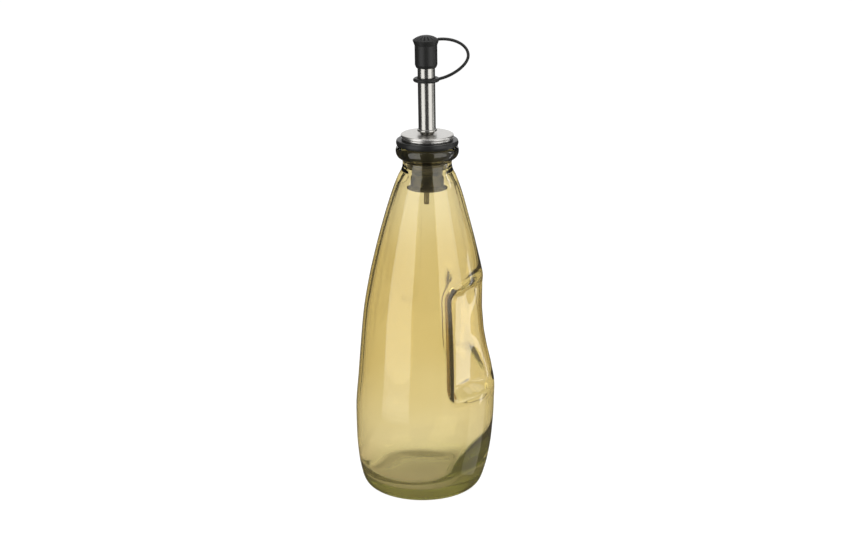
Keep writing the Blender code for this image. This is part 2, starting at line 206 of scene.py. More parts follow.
# Bottle: blown and pressed recycled glass, with a transparent amber lacquer sprayed on its outside
bottle = {
    # (height, radius) of the outside
    "outline": [mm(*p) for p in ((0, 30), (1.2, 32.6), (3.5, 34.4), (8, 35.9), (16, 37.7), (30, 39.3),
                                 (48, 40), (66, 38.9), (84, 37.7), (105, 35.8), (125, 32.5), (145, 28),
                                 (160, 24.1), (175, 19.7), (184.5, 16.2), (188.5, 14.25), (191.6, 13.7),
                                 (193, 13.8))],
    # (height, distance along X) of the body's middle
    "lean": [mm(*p) for p in ((0, -1.5), (45, 0), (90, 0.7), (140, 0.8), (190, 1.3))],
    "wall": mm(2.9),
    "heelZ": mm(8),
    # bends of the profile, in millimetres: start, two pulls, end and number of points
    "underside": ((0, 1.8), (12, 1.8), (20, 0.5), (24, 0), 9),
    "standingRing": (26, 28, 30),
    "lip": (((13.8, 193), (14.0, 194), (15.0, 194.2), (16.4, 195.4), 8),
            ((16.4, 195.4), (17.2, 196.3), (17.6, 197.5), (17.6, 198.8), 6),
            ((17.6, 198.8), (17.6, 200.7), (16.6, 201.7), (14.9, 201.7), 9),
            ((14.9, 201.7), (14, 201.7), (13.2, 201.7), (12.4, 201.7), 3),
            ((12.4, 201.7), (11.9, 201.7), (11.6, 201.4), (11.6, 200.9), 4)),
    "bore": 11.6,
    "boreHeights": (199, 196.5, 194, 191.5, 189, 186.6),
    "floor": ((26.2, 7.1), (18, 6.7), (8, 7.6), (0, 7.6), 12),
    # the inside of the floor sits a little to the left, up to a height where the shift has faded
    "floorShift": mm(-2.6),
    "floorShiftZ": mm(6),
    "floorShiftFade": mm(22),
    # the glass is thickest low at the right, under the grip: depth, direction and spread, its top and fade
    "thickSide": mm(5.0),
    "thickAngle": math.radians(-22),
    "thickSpread": math.radians(62),
    "thickZ": mm(38),
    "thickFade": mm(20),
    "thickFromRadius": mm(20),
    "thickOverRadius": mm(9),
    "columns": 224,
    "outsideRows": ((8, 56, 1.5), (56, 72, 0.5), (72, 120, 1.4), (120, 131, 0.4), (131, 182, 1.5),
                    (182, 193, 0.55)),
    "insideRows": ((18.5, 53, 1.8), (53, 70, 0.55), (70, 122, 1.7), (122, 134.5, 0.45),
                   (134.5, 180.5, 1.8)),
    # the waves in the glass, which fade out at the heel and the neck and are calmer away from the grip
    "waveOutside": mm(0.14),
    "waveInside": mm(0.34),
    "waveLength": mm(22),
    "waveStretch": 0.75,
    "waveFrom": mm(8),
    "waveTo": mm(183),
    "calmShare": 0.15,
    # the lacquer is very slightly milky below the neck
    "hazeTopZ": mm(184),
    "hazeFade": mm(9),
}
# Grip: two flat cheeks pressed into the glass that meet in a rounded spine at +X
grip = {
    "halfAngle": math.radians(70),
    "arcRadius": mm(36),
    "bottomZ": mm(61.5),
    "topZ": mm(125.5),
    "topRise": mm(4.5),
    "corner": mm(6.5),
    "edge": mm(2.8),
    # the top edge slopes more gently than the side edge
    "edgeTop": mm(9),
    "ledge": mm(6.5),
    "cheekAngle": math.radians(41),
    "cheekReach": 0.77,
    "cheekBlend": 9.0,
    "spineAngle": math.radians(36),
    # (height, share of the cheeks' depth) along the spine
    "spineInset": [(mm(z), share) for z, share in ((63.5, 0), (71.5, 0.16), (76, 0.36), (85, 0.75),
                                                   (96, 1), (105, 1), (113.5, 0.76), (120, 0.45),
                                                   (125, 0.22), (134, 0))],
    # painted shade: the glass is brown and less clear where an edge is steeper than this, fully so at the
    # slope of the sum
    "shadeSlope": 0.3,
    "shadeOver": 0.9,
    # painted shade along the spine as well: within this angle of it, at this share
    "spineShadeAngle": math.radians(10),
    "spineShadeShare": 0.7,
    "proud": mm(0.6),
    "proudZ": mm(61),
    "proudReachZ": mm(11),
    "proudAngle": math.radians(60),
    "edgeWaver": mm(0.4),
    # the inside of the wall follows the pressing only loosely
    "softInside": mm(8),
    # and the half of the grip behind the spine is less sharp than the front half
    "softBack": mm(8),
    "softBackLedge": mm(16),
}


def topRise(angle):
    return grip["topRise"] * max(1.0 - (angle / grip["halfAngle"]) ** 2, 0.0)


def gripShare(angle, z, grow):
    # 1 on the grip's floor, 0 outside it; grow widens the recess for the inside of the wall
    waver = grip["edgeWaver"] * noise.noise(Vector((angle * 5.0, 0.0, 3.7)))
    soft = grip["softInside"] if grow else 0.0
    grow += 0.4 * soft
    behind = smoothstep(angle / math.radians(35))
    top = grip["topZ"] + topRise(angle) + grow + 0.5 * waver
    side = grip["arcRadius"] * grip["halfAngle"] + grow
    corner = grip["corner"] + grow
    along = grip["arcRadius"] * abs(angle)
    pastSide, pastTop = along - (side - corner), z - (top - corner)
    topwards = smoothstep(0.5 + (pastTop - pastSide) / mm(16))
    edge = grip["edge"] + (grip["edgeTop"] - grip["edge"]) * topwards
    if pastSide > 0 and pastTop > 0:
        inside = corner - math.hypot(pastSide, pastTop)
    else:
        inside = min(side - along, top - z)
    ledge = (z - (grip["bottomZ"] - grow) + waver) / (grip["ledge"] + soft + grip["softBackLedge"] * behind)
    return smoothstep(inside / (edge + soft + grip["softBack"] * behind)) ** 1.5 * smoothstep(ledge)


def gripDepth(angle, z, radius):
    share = 1.0
    for side in (-1.0, 1.0):
        facing = math.cos(angle - side * grip["cheekAngle"])
        if facing > 0.05:
            share += (grip["cheekReach"] / facing) ** -grip["cheekBlend"]
    depth = radius * (1.0 - share ** (-1.0 / grip["cheekBlend"]))
    spine = follow(grip["spineInset"], z)
    return depth * (spine + (1.0 - spine) * smoothstep(abs(angle) / grip["spineAngle"]))


def paintedEdgeShade(angle, z, radius):
    # painted shade: 1 where the side edge is steep, and up to a share of that along the spine too
    step = mm(0.25)
    turn = step / grip["arcRadius"]
    across = gripShare(angle + turn, z, 0.0) - gripShare(angle - turn, z, 0.0)
    slope = abs(across) / (2 * step) * gripDepth(angle, z, radius)
    edge = smoothstep((slope - grip["shadeSlope"]) / grip["shadeOver"])
    spine = smoothstep(1.0 - abs(angle) / grip["spineShadeAngle"]) * follow(grip["spineInset"], z)
    return max(edge, grip["spineShadeShare"] * spine)


def alongEdge(angle, z, grow):
    # rows near the grip's top edge rise with it, so that the edge follows the mesh
    up = smoothstep((z - (grip["topZ"] + grow - mm(30))) / mm(22))
    down = smoothstep((z - (grip["topZ"] + grow)) / mm(26))
    return z + topRise(angle) * up * (1.0 - down)


def gatheredAngle(angle):
    # brings the columns closer together at the grip's steep front and back edges
    for edge in (-grip["halfAngle"], grip["halfAngle"]):
        away = angle - edge
        angle -= 0.62 * away * math.exp(-(away / math.radians(13)) ** 2)
    return angle


def rowHeights(stretches):
    heights = []
    for start, end, spacing in stretches:
        count = round((end - start) / spacing)
        heights += [mm(start + (end - start) * k / count) for k in range(count)]
    return heights + [mm(stretches[-1][1])]


def bendInMillimetres(corners):
    return bend(*(mm(*corner) for corner in corners[:4]), corners[4])


def bottleOutline():
    # from the middle of the underside, up the outside, over the lip, down the bore and inside to the floor
    def radiusAt(z):
        return follow(bottle["outline"], z)

    heel = (radiusAt(bottle["heelZ"]), bottle["heelZ"])
    outline = [mm(*bottle["underside"][0])] + bendInMillimetres(bottle["underside"])
    outline += [mm(radius, 0) for radius in bottle["standingRing"]]
    outline += bend(outline[-1], mm(33.4, 0), mm(35.0, 4.0), heel, 14)
    outline += [(radiusAt(z), z) for z in rowHeights(bottle["outsideRows"])[1:]]
    for corners in bottle["lip"]:
        outline += bendInMillimetres(corners)
    outline += [mm(bottle["bore"], z) for z in bottle["boreHeights"]]
    inside = rowHeights(bottle["insideRows"])
    shoulder = (radiusAt(inside[-1]) - bottle["wall"], inside[-1])
    outline += bend(outline[-1], mm(bottle["bore"], 185.4), mm(12.7, 184.8), shoulder, 10)
    outline += [(radiusAt(z) - bottle["wall"], z) for z in reversed(inside[:-1])]
    outline += bend(outline[-1], mm(34.4, 11.8), mm(28.6, 7.3), mm(*bottle["floor"][0]), 22)
    outline += bendInMillimetres(bottle["floor"])
    return outline


def pressedRadius(angle, z, grow):
    # the outside has grow 0, and the inside has the wall's thickness
    plain = follow(bottle["outline"], z)
    proud = grip["proud"] * smoothstep(1.0 - abs(z - grip["proudZ"]) / grip["proudReachZ"])
    proud *= smoothstep(1.0 - abs(angle) / grip["proudAngle"])
    return plain + proud - gripShare(angle, z, grow) * gripDepth(angle, z, plain) - grow


def waveAt(x, y, z, angle, onOutside):
    if not bottle["waveFrom"] < z < bottle["waveTo"]:
        return 0.0
    fade = smoothstep((z - bottle["waveFrom"]) / mm(14)) * smoothstep((bottle["waveTo"] - z) / mm(20))
    place = Vector((x, y, z * bottle["waveStretch"])) / bottle["waveLength"]
    wave = bottle["waveOutside"] if onOutside else bottle["waveInside"]
    calm = bottle["calmShare"]
    wave *= calm + (1.0 - calm) * smoothstep((1.0 + math.cos(angle)) / 0.7)
    return wave * fade * noise.noise(place + Vector((0, 0, 0 if onOutside else 9.1)))


def extraThickness(angle, z, radius):
    thick = smoothstep(1.0 - abs(angle - bottle["thickAngle"]) / bottle["thickSpread"])
    thick *= smoothstep((bottle["thickZ"] - z) / bottle["thickFade"])
    return bottle["thickSide"] * thick * smoothstep((radius - bottle["thickFromRadius"])
                                                    / bottle["thickOverRadius"])


def pressGrip(piece):
    # moves each point of the turned blank to its place on the pressed, leaning, slightly wavy glass, and
    # notes where it is coated, where painted shade darkens the grip's steep edges and its spine, and where
    # it is milky
    coat = piece.data.attributes.new("coat", "FLOAT", "POINT")
    paintedShade = piece.data.attributes.new("paintedShade", "FLOAT", "POINT")
    haze = piece.data.attributes.new("haze", "FLOAT", "POINT")
    firstInside = mm(bottle["insideRows"][0][0]) - mm(0.01)
    lastInside = mm(bottle["insideRows"][-1][1]) + mm(0.01)
    for vert in piece.data.vertices:
        x, y, z = vert.co
        radius = math.hypot(x, y)
        plain = follow(bottle["outline"], z)
        onOutside = z >= bottle["heelZ"] - mm(0.01) and abs(radius - plain) < mm(0.05)
        onInside = firstInside < z < lastInside and abs(radius - plain + bottle["wall"]) < mm(0.05)
        innerFace = radius < plain - mm(1.2) and z > mm(5)
        coat.data[vert.index].value = 0.0 if innerFace and z < mm(201) else 1.0
        if not innerFace:
            haze.data[vert.index].value = smoothstep((bottle["hazeTopZ"] - z) / bottle["hazeFade"])
        angle = gatheredAngle(math.atan2(y, x)) if radius > mm(0.01) else 0.0
        if onOutside or onInside:
            grow = 0.0 if onOutside else bottle["wall"]
            z = alongEdge(angle, z, grow)
            radius = pressedRadius(angle, z, grow) + waveAt(x, y, z, angle, onOutside)
        if onOutside:
            # painted shade on the grip's steep edges and along its spine
            paintedShade.data[vert.index].value = paintedEdgeShade(angle, z, follow(bottle["outline"], z))
        if innerFace:
            radius -= extraThickness(angle, z, radius)
        aside = follow(bottle["lean"], z)
        if innerFace or (radius < mm(30) and mm(4) < z < mm(9)):
            share = 1.0 - smoothstep((z - bottle["floorShiftZ"]) / bottle["floorShiftFade"])
            aside += bottle["floorShift"] * share
        vert.co = (radius * math.cos(angle) + aside, radius * math.sin(angle), z)
    return piece


# Lacquer and glass: the colours, and how far the lacquer thins from its deepest height
tint = {
    "middle": ("#DFC788", "#D5B86E"),
    "ends": "#E6D3A0",
    "slanting": "#B5954F",
    # painted shade: brown for the grip's steep edges and spine, and the share of light that still passes
    # there
    "edgeShadeColour": "#7A5018",
    "edgeShadeClear": 0.45,
    "milkyClear": 0.94,
    "deepestZ": mm(105),
    "thinFrom": mm(28),
    "thinTo": mm(72),
    "inTheGlass": "#CCDC7C",
    "absorption": 30.0,
    # heights between which the stippled underside turns smooth
    "stippleZ": mm(1.9, 3.2),
}


def tintedGlass():
    # recycled soda-lime glass: smooth, bright and faintly green where it is thick, with an amber lacquer
    made, tree, shader = newMaterial("tinted recycled glass", Transmission_Weight=1.0, Roughness=0.0,
                                     IOR=1.52)
    place = addNode(tree, "ShaderNodeTexCoord").outputs["Object"]
    # the sprayed coat is uneven over about 30 mm and thinner near the foot and the neck, and it looks
    # deeper where the eye meets it at a slant
    spray = addNode(tree, "ShaderNodeTexNoise", {"Vector": place, "Scale": 33.0, "Detail": 2.0})
    middle = addNode(tree, "ShaderNodeMix", {"Factor": spray.outputs["Fac"], 6: fromHex(tint["middle"][0]),
                                             7: fromHex(tint["middle"][1])}, data_type="RGBA")
    height = addNode(tree, "ShaderNodeSeparateXYZ", {0: place}).outputs["Z"]
    above = addNode(tree, "ShaderNodeMath", {0: height, 1: tint["deepestZ"]}, operation="SUBTRACT")
    away = addNode(tree, "ShaderNodeMath", {0: above.outputs[0]}, operation="ABSOLUTE")
    thin = addNode(tree, "ShaderNodeMapRange", {"Value": away.outputs[0], "From Min": tint["thinFrom"],
                                                "From Max": tint["thinTo"]},
                   interpolation_type="SMOOTHSTEP")
    even = addNode(tree, "ShaderNodeMix", {"Factor": thin.outputs[0], 6: middle.outputs[2],
                                           7: fromHex(tint["ends"])}, data_type="RGBA")
    slant = addNode(tree, "ShaderNodeLayerWeight", {"Blend": 0.35})
    lacquer = addNode(tree, "ShaderNodeMix", {"Factor": slant.outputs["Facing"], 6: even.outputs[2],
                                              7: fromHex(tint["slanting"])}, data_type="RGBA")
    coat = addNode(tree, "ShaderNodeAttribute", attribute_name="coat")
    colour = addNode(tree, "ShaderNodeMix", {"Factor": coat.outputs["Fac"], 6: fromHex("#FFFFFF"),
                                             7: lacquer.outputs[2]}, data_type="RGBA")
    # painted shade: on the grip's steep edges and along its spine the glass is brown and lets less light
    # through
    paintedShade = addNode(tree, "ShaderNodeAttribute", attribute_name="paintedShade")
    shadedColour = addNode(tree, "ShaderNodeMix", {"Factor": paintedShade.outputs["Fac"], 6: colour.outputs[2],
                                                   7: fromHex(tint["edgeShadeColour"])}, data_type="RGBA")
    tree.links.new(shadedColour.outputs[2], shader.inputs["Base Color"])
    clear = addNode(tree, "ShaderNodeMapRange", {"Value": paintedShade.outputs["Fac"], "To Min": 1.0,
                                                 "To Max": tint["edgeShadeClear"]})
    # elsewhere below the neck it is very slightly milky
    haze = addNode(tree, "ShaderNodeAttribute", attribute_name="haze")
    milky = addNode(tree, "ShaderNodeMapRange", {"Value": haze.outputs["Fac"], "To Min": 1.0,
                                                 "To Max": tint["milkyClear"]})
    passed = addNode(tree, "ShaderNodeMath", {0: clear.outputs[0], 1: milky.outputs[0]},
                     operation="MULTIPLY")
    tree.links.new(passed.outputs[0], shader.inputs["Transmission Weight"])
    # the underside is stippled, so it is rough where the bottle stands
    stipple = addNode(tree, "ShaderNodeMapRange", {"Value": height, "From Min": tint["stippleZ"][0],
                                                   "From Max": tint["stippleZ"][1], "To Min": 0.5,
                                                   "To Max": 0.0})
    tree.links.new(stipple.outputs[0], shader.inputs["Roughness"])
    absorption = addNode(tree, "ShaderNodeVolumeAbsorption", {"Color": fromHex(tint["inTheGlass"]),
                                                              "Density": tint["absorption"]})
    tree.links.new(absorption.outputs[0], tree.nodes["Material Output"].inputs["Volume"])
    return made


glassBottle = turned("glassBottle", bottleOutline(), bottle["columns"], closed=False)
pressGrip(glassBottle)
only(glassBottle)
bpy.ops.object.shade_smooth()
dressed(glassBottle, tintedGlass(), "glass_bottle")
print("glass bottle:", len(glassBottle.data.polygons), "faces")


# Stopper: one black rubber moulding, a flange on the lip and a finned plug in the neck
stopper = {
    "flangeRadius": 17.4,
    "flangeTopZ": 205.05,
    # its underside and collar press a trace into the lip, so that no air shows between; the fins only touch
    "lipTopZ": 201.67,
    "collar": 11.63,
    "collarZ": 196.4,
    "core": 9.1,
    "fin": 11.45,
    "finHeights": (188.8, 192.3),
    "bottomZ": 177.0,
    "steps": 144,
}


def stopperOutline():
    core, fin, bottom = stopper["core"], stopper["fin"], stopper["bottomZ"]
    corners = [(1.7, bottom), (10.9, bottom, 0.15), (11.3, bottom + 0.3, 0.3), (11.2, bottom + 1.3, 0.3),
               (core, bottom + 2.7, 0.5)]
    for finZ in stopper["finHeights"]:
        corners += [(core, finZ, 0.3), (fin, finZ + 0.2, 0.3), (fin, finZ + 2.5, 0.4),
                    (core, finZ + 2.9, 0.2)]
    corners += [(core, stopper["collarZ"] - 0.6, 0.2), (stopper["collar"], stopper["collarZ"], 0.2),
                (stopper["collar"], 200.9), (12.5, stopper["lipTopZ"])]
    rim = stopper["flangeRadius"]
    corners += [(rim - 0.4, stopper["lipTopZ"], 0.8), (rim, stopper["lipTopZ"] + 1.6, 2.0),
                (rim - 0.3, stopper["flangeTopZ"], 1.2), (3.2, stopper["flangeTopZ"]),
                (3.2, 195.7), (1.7, 195.7)]
    return [mm(*point) for point in rounded(corners)]


def mouldedRubber(name, colour, roughness, grain):
    # black nitrile rubber from a polished mould: nearly black with a soft sheen and a fine, faint grain
    made, tree, shader = newMaterial(name, Roughness=roughness, IOR=1.5, Specular_IOR_Level=0.3)
    place = addNode(tree, "ShaderNodeTexCoord").outputs["Object"]
    patches = addNode(tree, "ShaderNodeTexNoise", {"Vector": place, "Scale": 180.0, "Detail": 4.0})
    tone = addNode(tree, "ShaderNodeMix", {"Factor": patches.outputs["Fac"], 6: fromHex(colour[0]),
                                           7: fromHex(colour[1])}, data_type="RGBA")
    tree.links.new(tone.outputs[2], shader.inputs["Base Color"])
    # grain spacing of about 0.25 mm, coarser than the real one so that it shows
    pits = addNode(tree, "ShaderNodeTexNoise", {"Vector": place, "Scale": 4000.0, "Detail": 2.0})
    bump = addNode(tree, "ShaderNodeBump", {"Height": pits.outputs["Fac"], "Strength": grain,
                                            "Distance": mm(0.05)})
    tree.links.new(bump.outputs[0], shader.inputs["Normal"])
    return made


rubberStopper = smoothed(onPourerAxis(turned("rubberStopper", stopperOutline(), stopper["steps"])))
dressed(rubberStopper, mouldedRubber("stopper rubber", ("#131312", "#1A1A19"), 0.34, 0.12),
        "rubber_stopper")
print("rubber stopper")


# Plate: turned stainless steel, two tiers with a groove between, dished round the spout
plate = {
    "radius": 14.75,
    "topZ": 208.2,
    "bottomZ": 205.1,
    "grooveZ": 206.55,
    "dishRadius": 5.6,
    "dishDepth": 1.3,
    "hole": 3.05,
    "steps": 160,
}


def plateOutline():
    rim, top, groove = plate["radius"], plate["topZ"], plate["grooveZ"]
    dishBottom = top - plate["dishDepth"]
    corners = [(plate["hole"], plate["bottomZ"]), (rim - 0.35, plate["bottomZ"], 0.3),
               (rim - 0.2, groove - 0.25, 0.3), (rim - 0.75, groove, 0.15),
               (rim - 0.1, groove + 0.25, 0.25),
               (rim, top - 0.4, 0.5), (rim - 0.7, top, 0.6), (plate["dishRadius"], top, 0.4),
               (plate["dishRadius"] - 1.0, top - 0.5, 0.6), (plate["hole"] + 0.6, dishBottom + 0.1, 0.3),
               (plate["hole"], dishBottom)]
    return [mm(*point) for point in rounded(corners)]


def turnedSteel():
    # stainless steel faced on a lathe: satin, with very fine rings round the axis
    made, tree, shader = newMaterial("turned stainless steel", Metallic=1.0, Roughness=0.3)
    place = addNode(tree, "ShaderNodeTexCoord").outputs["Object"]
    centred = addNode(tree, "ShaderNodeMapping", {"Vector": place, "Location": (-pourer["axisX"], 0, 0)})
    # rings 0.3 mm apart, coarser than the real ones so that they show
    rings = addNode(tree, "ShaderNodeTexWave", {"Vector": centred.outputs[0], "Scale": 520.0,
                                                "Distortion": 1.2, "Detail": 3.0, "Detail Scale": 2.0},
                    wave_type="RINGS", rings_direction="Z")
    tone = addNode(tree, "ShaderNodeMix", {"Factor": rings.outputs["Fac"], 6: fromHex("#C8C6C2"),
                                           7: fromHex("#C0BEBA")}, data_type="RGBA")
    tree.links.new(tone.outputs[2], shader.inputs["Base Color"])
    sheen = addNode(tree, "ShaderNodeMapRange", {"Value": rings.outputs["Fac"], "To Min": 0.26,
                                                 "To Max": 0.36})
    tree.links.new(sheen.outputs[0], shader.inputs["Roughness"])
    bump = addNode(tree, "ShaderNodeBump", {"Height": rings.outputs["Fac"], "Strength": 0.05,
                                            "Distance": mm(0.02)})
    tree.links.new(bump.outputs[0], shader.inputs["Normal"])
    return made


steelPlate = smoothed(onPourerAxis(turned("steelPlate", plateOutline(), plate["steps"])), 50)
dressed(steelPlate, turnedSteel(), "steel_plate")
print("steel plate")


# Spout: drawn stainless tube, with a bead above a cone that seats in the plate's dish
spout = {
    "radius": 4.8,
    "wall": 0.5,
    "tipZ": 256.0,
    "beadZ": 210.3,
    "beadRadius": 5.5,
    "coneTop": 4.3,
    "coneEnd": 3.4,
    "tail": 2.9,
    "tailZ": 196.0,
    "steps": 96,
}


def spoutOutline():
    tube, tail, bead = spout["radius"], spout["tail"], spout["beadZ"]
    seat = plate["topZ"] - plate["dishDepth"]
    corners = [(tail, spout["tailZ"]), (tail, seat, 0.1), (spout["coneEnd"], seat + 0.3, 0.3),
               (spout["coneTop"], bead - 0.8, 0.3), (spout["beadRadius"], bead - 0.55, 0.45),
               (spout["beadRadius"], bead + 0.55, 0.45), (tube + 0.05, bead + 0.75, 0.25),
               (tube, bead + 1.6)]
    corners += [(tube, z) for z in (216, 224, 232, 240, 248, spout["tipZ"] - 0.3)]
    inner = tube - spout["wall"]
    corners += [(tube - 0.2, spout["tipZ"], 0.1), (inner, spout["tipZ"], 0.1), (inner, bead + 1.0, 0.4),
                (tail - 0.5, seat + 0.4, 0.3), (tail - 0.5, spout["tailZ"])]
    return [mm(*point) for point in rounded(corners)]


def drawnSteel(name, colour, roughness):
    # drawn stainless tube: bright and cool where it is polished, with faint draw lines along its length
    made, tree, shader = newMaterial(name, Metallic=1.0)
    place = addNode(tree, "ShaderNodeTexCoord").outputs["Object"]
    # lines about 0.3 mm apart round the tube and many millimetres long
    stretched = addNode(tree, "ShaderNodeMapping", {"Vector": place, "Scale": (1.0, 1.0, 0.02)})
    lines = addNode(tree, "ShaderNodeTexNoise", {"Vector": stretched.outputs[0], "Scale": 2600.0,
                                                 "Detail": 3.0})
    sheen = addNode(tree, "ShaderNodeMapRange", {"Value": lines.outputs["Fac"], "To Min": roughness - 0.04,
                                                 "To Max": roughness + 0.04})
    tree.links.new(sheen.outputs[0], shader.inputs["Roughness"])
    tone = addNode(tree, "ShaderNodeMix", {"Factor": lines.outputs["Fac"], 6: fromHex(colour[0]),
                                           7: fromHex(colour[1])}, data_type="RGBA")
    tree.links.new(tone.outputs[2], shader.inputs["Base Color"])
    return made


steelSpout = turned("steelSpout", spoutOutline(), spout["steps"])
smoothed(onPourerAxis(steelSpout, pourer["spoutPivotZ"], pourer["spoutLean"]), 50)
dressed(steelSpout, drawnSteel("drawn stainless steel", ("#A9A7A2", "#A19F9A"), 0.22), "steel_spout")
print("steel spout")


# Air tube: thin stainless tube that hangs below the plug
airTube = {"radius": 1.5, "bore": 1.0, "bottomZ": 167.7, "topZ": 212.0, "steps": 48}


def airTubeOutline():
    radius, bore = airTube["radius"], airTube["bore"]
    corners = [(bore, airTube["bottomZ"], 0.1), (radius, airTube["bottomZ"], 0.15), (radius, 172),
               (radius, 178), (radius, 190), (radius, airTube["topZ"], 0.1), (bore, airTube["topZ"], 0.1)]
    return [mm(*point) for point in rounded(corners)]


airTubePiece = turned("airTube", airTubeOutline(), airTube["steps"])
smoothed(onPourerAxis(airTubePiece, pourer["airTubePivotZ"], pourer["airTubeLean"]), 50)
dressed(airTubePiece, drawnSteel("unpolished stainless steel", ("#6B675E", "#5F5B52"), 0.36), "air_tube")
print("air tube")


# Cap: black rubber cap with a fluted dome, tethered by a strap to a ring on the spout, one moulding
cap = {
    "radius": 6.2,
    "bore": 4.86,
    "bottomZ": 245.2,
    "skirtTopZ": 257.5,
    "headRadius": 7.3,
    "headZ": 260.4,
    "topZ": 263.0,
    "boreTopZ": 256.2,
    "flutes": 16,
    "fluteDepth": 0.42,
    "steps": 192,
}
strap = {
    "thickness": 1.6,
    "width": 2.7,
    "ringZ": 238.5,
    "ringSection": 1.25,
    # (x from the spout's axis, height) of each point, then of its handles before and after
    "points": (((6.6, 260.55), (4.0, 260.4), (15.0, 261.3)),
               ((23.1, 251.2), (23.1, 257.3), (23.1, 246.2)),
               ((6.2, 238.55), (14.6, 239.9), (4.0, 238.1))),
}


def capOutline():
    head, rise = cap["headRadius"], cap["topZ"] - cap["headZ"]
    domeRadius = (head**2 + rise**2) / (2 * rise)
    rimAngle = math.asin(head / domeRadius)
    dome = [(domeRadius * math.sin(a), cap["topZ"] - domeRadius * (1 - math.cos(a)))
            for a in (rimAngle * (1 - k / 20) for k in range(21))]
    corners = [(0, cap["boreTopZ"]), (cap["bore"], cap["boreTopZ"], 0.3),
               (cap["bore"], cap["bottomZ"], 0.1),
               (cap["bore"] + 0.65, cap["bottomZ"], 0.3), (cap["radius"], cap["bottomZ"] + 1.7, 0.6),
               (cap["radius"], cap["skirtTopZ"], 0.9), (head, cap["headZ"], 0.12), dome[2]]
    return [mm(*point) for point in rounded(corners) + dome[3:]]


def cutFlutes(piece):
    # narrow radial grooves pressed into the dome, fading out towards its middle and its rim
    head, rim = mm(cap["headRadius"]), mm(cap["headZ"] - 0.15)
    for vert in piece.data.vertices:
        x, y, z = vert.co
        radius = math.hypot(x, y)
        if z < rim or radius < mm(0.3):
            continue
        groove = (0.5 + 0.5 * math.cos(cap["flutes"] * math.atan2(y, x) + math.pi)) ** 5
        reach = smoothstep((radius / head - 0.2) / 0.3) * smoothstep((1.0 - radius / head) / 0.14)
        vert.co.z -= mm(cap["fluteDepth"]) * groove * reach
    return piece


def strapPiece():
    nothingSelected()
    bpy.ops.curve.primitive_bezier_curve_add()
    line = bpy.context.object
    line.name = "capStrap"
    line.data.dimensions = "3D"
    line.data.resolution_u = 40
    line.data.bevel_depth = mm(strap["thickness"] / 2)
    line.data.bevel_resolution = 6
    line.data.use_fill_caps = True
    path = line.data.splines[0]
    path.bezier_points.add(1)
    for point, (at, before, after) in zip(path.bezier_points, strap["points"]):
        point.handle_left_type = point.handle_right_type = "FREE"
        point.co = mm(at[0], 0, at[1])
        point.handle_left = mm(before[0], 0, before[1])
        point.handle_right = mm(after[0], 0, after[1])
    only(line)
    bpy.ops.object.convert(target="MESH")
    bpy.ops.object.mode_set(mode="EDIT")
    bpy.ops.mesh.select_all(action="SELECT")
    bpy.ops.mesh.remove_doubles(threshold=2e-6)
    bpy.ops.mesh.normals_make_consistent(inside=False)
    bpy.ops.object.mode_set(mode="OBJECT")
    half = strap["thickness"] / 2
    for vert in line.data.vertices:
        # squares the round section off into a flat band with soft edges
        share = min(abs(vert.co.y) / mm(half), 1.0)
        vert.co.y = math.copysign(mm(strap["width"] / 2) * share ** 0.8, vert.co.y)
    return line


def joinedTo(piece, others):
    for other in others:
        only(piece)
        bpy.ops.object.modifier_add(type="BOOLEAN")
        union = piece.modifiers[-1]
        union.operation = "UNION"
        union.solver = "EXACT"
        union.object = other
        bpy.ops.object.modifier_apply(modifier=union.name)
        bpy.data.objects.remove(other)
    return piece


ringMiddle = spout["radius"] + 0.06 + strap["ringSection"]
ringOutline = [mm(ringMiddle + strap["ringSection"] * math.cos(a), strap["ringZ"] + 1.1 * math.sin(a))
               for a in (math.tau * k / 28 for k in range(28))]
spoutCap = cutFlutes(turned("spoutCap", capOutline(), cap["steps"], closed=False))
joinedTo(spoutCap, [strapPiece(), turned("capRing", ringOutline, 96)])
smoothed(onPourerAxis(spoutCap, pourer["spoutPivotZ"], pourer["spoutLean"]), 55)
dressed(spoutCap, mouldedRubber("cap rubber", ("#121211", "#191918"), 0.42, 0.25), "rubber_cap")
print("cap, strap and ring:", len(spoutCap.data.polygons), "faces")


